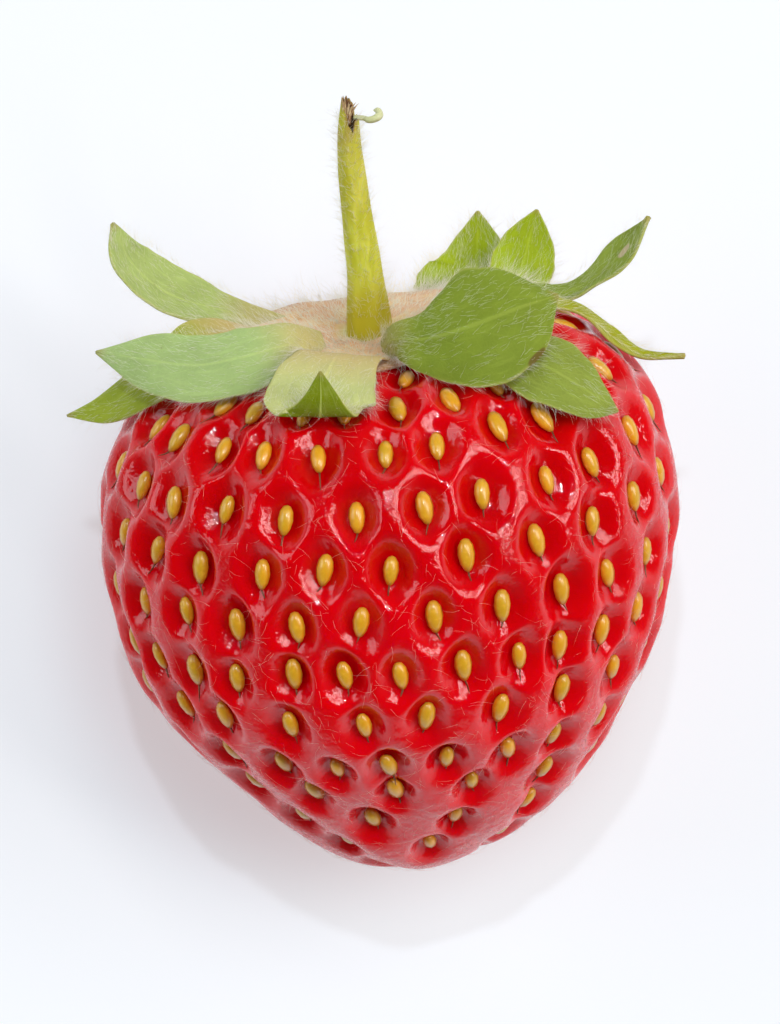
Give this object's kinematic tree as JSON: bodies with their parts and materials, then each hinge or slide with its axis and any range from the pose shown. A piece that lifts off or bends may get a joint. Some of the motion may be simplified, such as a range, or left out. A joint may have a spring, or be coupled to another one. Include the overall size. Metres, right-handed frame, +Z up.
{
  "type": "strawberry",
  "caption": "Ripe strawberry lying on its side, with dimpled skin set with small achenes, a cap of green leaves and a short torn stalk.",
  "frame": {"origin": "middle of the small flat spot the berry rests on", "axes": "+Z up out of the table; +Y from the tip of the berry towards its stalk, as seen from above; +X to the right of that, so the core leans 5 degrees to -X and rises 18 degrees towards the stalk"},
  "size_m": [0.0341, 0.0425, 0.0306],
  "materials": {
    "ripe_flesh": "wet-looking ripe red skin, smooth and glossy, dimpled round every achene",
    "hairy_disc": "tan to pinkish disc under the stalk, matt and densely hairy",
    "sepal_green": "soft grey-green leaf with fine veins and pale hairs",
    "bractlet_green": "yellow-green narrower leaf with fine veins and pale hairs",
    "stalk_green": "yellow-green ridged stalk with pale hairs, brown where it is torn",
    "torn_fibre": "pale dry fibre curled away from the torn end"
  },
  "bodies": {
    "root": {"berry": "ripe_flesh", "calyx_disc": "hairy_disc", "sepal_1": "sepal_green", "sepal_2": "sepal_green", "sepal_3": "sepal_green", "sepal_4": "sepal_green", "sepal_5": "sepal_green", "bractlet_1": "bractlet_green", "bractlet_2": "bractlet_green", "bractlet_3": "bractlet_green", "bractlet_4": "bractlet_green", "bractlet_5": "bractlet_green", "stem": "stalk_green", "stem_strand": "torn_fibre"}
  },
  "joints": []
}
